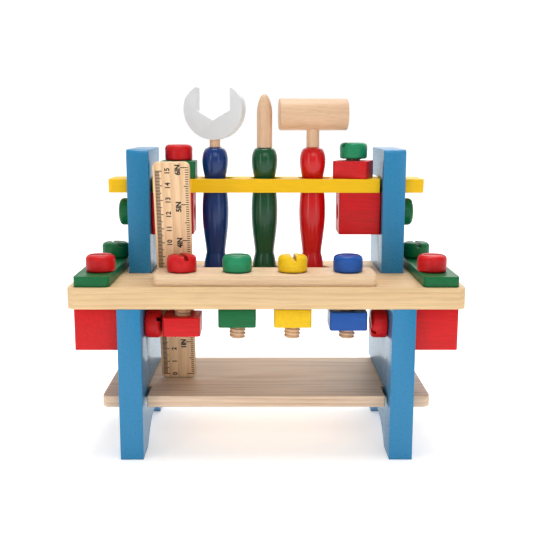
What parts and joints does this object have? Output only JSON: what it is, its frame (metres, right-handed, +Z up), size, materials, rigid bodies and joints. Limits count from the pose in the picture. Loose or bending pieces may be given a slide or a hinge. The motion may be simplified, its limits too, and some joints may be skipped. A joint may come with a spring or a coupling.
{
  "type": "toy workbench",
  "caption": "Wooden toy workbench with a shelf, a tool rack holding a wrench, screwdriver and mallet, slotted wooden bolts with square nuts, and a ruler.",
  "frame": {"origin": "on the ground under the middle of the bench", "axes": "+X along the bench top to the right, +Y to the back, +Z up; the strip of bolts faces -Y"},
  "size_m": [0.26, 0.118, 0.2472],
  "materials": {
    "blue_painted_wood": "painted, satin",
    "pine": "natural, fine sanded",
    "shelf_wood": "natural, fine sanded",
    "yellow_painted_wood": "painted, satin",
    "strip_wood": "natural, fine sanded",
    "green_painted_wood": "painted, gloss",
    "red_painted_wood": "painted, gloss",
    "light_green_painted_wood": "painted, gloss",
    "bolt_yellow_painted_wood": "painted, gloss",
    "bolt_blue_painted_wood": "painted, gloss",
    "navy_painted_wood": "painted, high gloss",
    "dark_green_painted_wood": "painted, high gloss",
    "handle_red_painted_wood": "painted, high gloss",
    "silver_painted_wood": "painted, satin silver grey",
    "beech_dowel": "natural, fine sanded",
    "ruler_wood": "natural, printed scale"
  },
  "bodies": {
    "bench": {"left_side_panel": "blue_painted_wood", "right_side_panel": "blue_painted_wood", "bench_top": "pine", "lower_shelf": "shelf_wood", "tool_rack_rail": "yellow_painted_wood", "bolt_strip": "strip_wood", "left_end_bar": "green_painted_wood", "right_end_bar": "green_painted_wood", "left_lower_cube": "red_painted_wood", "right_lower_cube": "red_painted_wood", "left_upper_cube": "red_painted_wood", "right_upper_cube": "red_painted_wood", "left_rail_nut": "green_painted_wood", "right_rail_nut": "red_painted_wood", "left_bar_nut": "green_painted_wood", "right_bar_nut": "green_painted_wood"},
    "wrench": {"wrench_handle": "navy_painted_wood", "wrench_neck": "beech_dowel", "wrench_head": "silver_painted_wood"},
    "screwdriver": {"screwdriver_handle": "dark_green_painted_wood", "screwdriver_shaft": "beech_dowel"},
    "mallet": {"mallet_handle": "handle_red_painted_wood", "mallet_neck": "beech_dowel", "mallet_head": "beech_dowel"},
    "ruler": {"ruler": "ruler_wood"},
    "strip_bolt_red": {"strip_bolt_red": "red_painted_wood"},
    "strip_nut_red": {"strip_nut_red": "red_painted_wood"},
    "strip_bolt_green": {"strip_bolt_green": "light_green_painted_wood"},
    "strip_nut_green": {"strip_nut_green": "green_painted_wood"},
    "strip_bolt_yellow": {"strip_bolt_yellow": "bolt_yellow_painted_wood"},
    "strip_nut_yellow": {"strip_nut_yellow": "bolt_yellow_painted_wood"},
    "strip_bolt_blue": {"strip_bolt_blue": "bolt_blue_painted_wood"},
    "strip_nut_blue": {"strip_nut_blue": "bolt_blue_painted_wood"},
    "left_bar_bolt_front": {"left_bar_bolt_front": "red_painted_wood"},
    "left_bar_bolt_rear": {"left_bar_bolt_rear": "green_painted_wood"},
    "left_leg_bolt": {"left_leg_bolt": "red_painted_wood"},
    "left_post_bolt": {"left_post_bolt": "green_painted_wood"},
    "left_rail_bolt": {"left_rail_bolt": "red_painted_wood"},
    "right_bar_bolt_front": {"right_bar_bolt_front": "red_painted_wood"},
    "right_bar_bolt_rear": {"right_bar_bolt_rear": "green_painted_wood"},
    "right_leg_bolt": {"right_leg_bolt": "red_painted_wood"},
    "right_post_bolt": {"right_post_bolt": "green_painted_wood"},
    "right_rail_bolt": {"right_rail_bolt": "light_green_painted_wood"}
  },
  "joints": [
    {"name": "wrench_lift", "type": "slide", "parent": "bench", "child": "wrench", "axis": [0, 0, 1], "range_m": [0, 0.072]},
    {"name": "screwdriver_lift", "type": "slide", "parent": "bench", "child": "screwdriver", "axis": [0, 0, 1], "range_m": [0, 0.072]},
    {"name": "mallet_lift", "type": "slide", "parent": "bench", "child": "mallet", "axis": [0, 0, 1], "range_m": [0, 0.072]},
    {"name": "ruler_lift", "type": "slide", "parent": "bench", "child": "ruler", "axis": [0, -0.1908, 0.9816], "range_m": [0, 0.09]},
    {"name": "strip_bolt_red_turn", "type": "hinge", "parent": "bench", "child": "strip_bolt_red", "pos_m": [-0.0565, -0.038, 0.1245], "axis": [0, 0, 1], "range_deg": [-1151.8, 503.8]},
    {"name": "strip_nut_red_travel", "type": "slide", "parent": "bench", "child": "strip_nut_red", "axis": [0, 0, 1], "range_m": [-0.0035, 0.008]},
    {"name": "strip_bolt_green_turn", "type": "hinge", "parent": "bench", "child": "strip_bolt_green", "pos_m": [-0.0195, -0.038, 0.1245], "axis": [0, 0, 1], "range_deg": [-287.8, 1367.8]},
    {"name": "strip_nut_green_travel", "type": "slide", "parent": "bench", "child": "strip_nut_green", "axis": [0, 0, 1], "range_m": [-0.0095, 0.002]},
    {"name": "strip_bolt_yellow_turn", "type": "hinge", "parent": "bench", "child": "strip_bolt_yellow", "pos_m": [0.0175, -0.038, 0.1245], "axis": [0, 0, 1], "range_deg": [-287.8, 1367.8]},
    {"name": "strip_nut_yellow_travel", "type": "slide", "parent": "bench", "child": "strip_nut_yellow", "axis": [0, 0, 1], "range_m": [-0.0095, 0.002]},
    {"name": "strip_bolt_blue_turn", "type": "hinge", "parent": "bench", "child": "strip_bolt_blue", "pos_m": [0.0545, -0.038, 0.1245], "axis": [0, 0, 1], "range_deg": [-575.8, 1079.8]},
    {"name": "strip_nut_blue_travel", "type": "slide", "parent": "bench", "child": "strip_nut_blue", "axis": [0, 0, 1], "range_m": [-0.0075, 0.004]},
    {"name": "left_bar_bolt_front_turn", "type": "hinge", "parent": "bench", "child": "left_bar_bolt_front", "pos_m": [-0.1115, -0.034, 0.124], "axis": [0, 0, 1], "continuous": true},
    {"name": "left_bar_bolt_rear_turn", "type": "hinge", "parent": "bench", "child": "left_bar_bolt_rear", "pos_m": [-0.1115, 0.026, 0.124], "axis": [0, 0, 1], "continuous": true},
    {"name": "left_leg_bolt_turn", "type": "hinge", "parent": "bench", "child": "left_leg_bolt", "pos_m": [-0.082, -0.034, 0.088], "axis": [1, 0, 0], "continuous": true},
    {"name": "left_post_bolt_turn", "type": "hinge", "parent": "bench", "child": "left_post_bolt", "pos_m": [-0.0975, 0.02, 0.1585], "axis": [1, 0, 0], "continuous": true},
    {"name": "left_rail_bolt_turn", "type": "hinge", "parent": "bench", "child": "left_rail_bolt", "pos_m": [-0.063, 0.02, 0.1955], "axis": [0, 0, 1], "continuous": true},
    {"name": "right_bar_bolt_front_turn", "type": "hinge", "parent": "bench", "child": "right_bar_bolt_front", "pos_m": [0.1115, -0.034, 0.124], "axis": [0, 0, 1], "continuous": true},
    {"name": "right_bar_bolt_rear_turn", "type": "hinge", "parent": "bench", "child": "right_bar_bolt_rear", "pos_m": [0.1115, 0.026, 0.124], "axis": [0, 0, 1], "continuous": true},
    {"name": "right_leg_bolt_turn", "type": "hinge", "parent": "bench", "child": "right_leg_bolt", "pos_m": [0.082, -0.034, 0.088], "axis": [1, 0, 0], "continuous": true},
    {"name": "right_post_bolt_turn", "type": "hinge", "parent": "bench", "child": "right_post_bolt", "pos_m": [0.0975, 0.02, 0.1585], "axis": [1, 0, 0], "continuous": true},
    {"name": "right_rail_bolt_turn", "type": "hinge", "parent": "bench", "child": "right_rail_bolt", "pos_m": [0.063, 0.02, 0.1955], "axis": [0, 0, 1], "continuous": true}
  ],
  "couplings": [
    {"joint": "strip_nut_red_travel", "follows": "strip_bolt_red_turn", "m_per_rad": -0.00039789},
    {"joint": "strip_nut_green_travel", "follows": "strip_bolt_green_turn", "m_per_rad": -0.00039789},
    {"joint": "strip_nut_yellow_travel", "follows": "strip_bolt_yellow_turn", "m_per_rad": -0.00039789},
    {"joint": "strip_nut_blue_travel", "follows": "strip_bolt_blue_turn", "m_per_rad": -0.00039789}
  ]
}
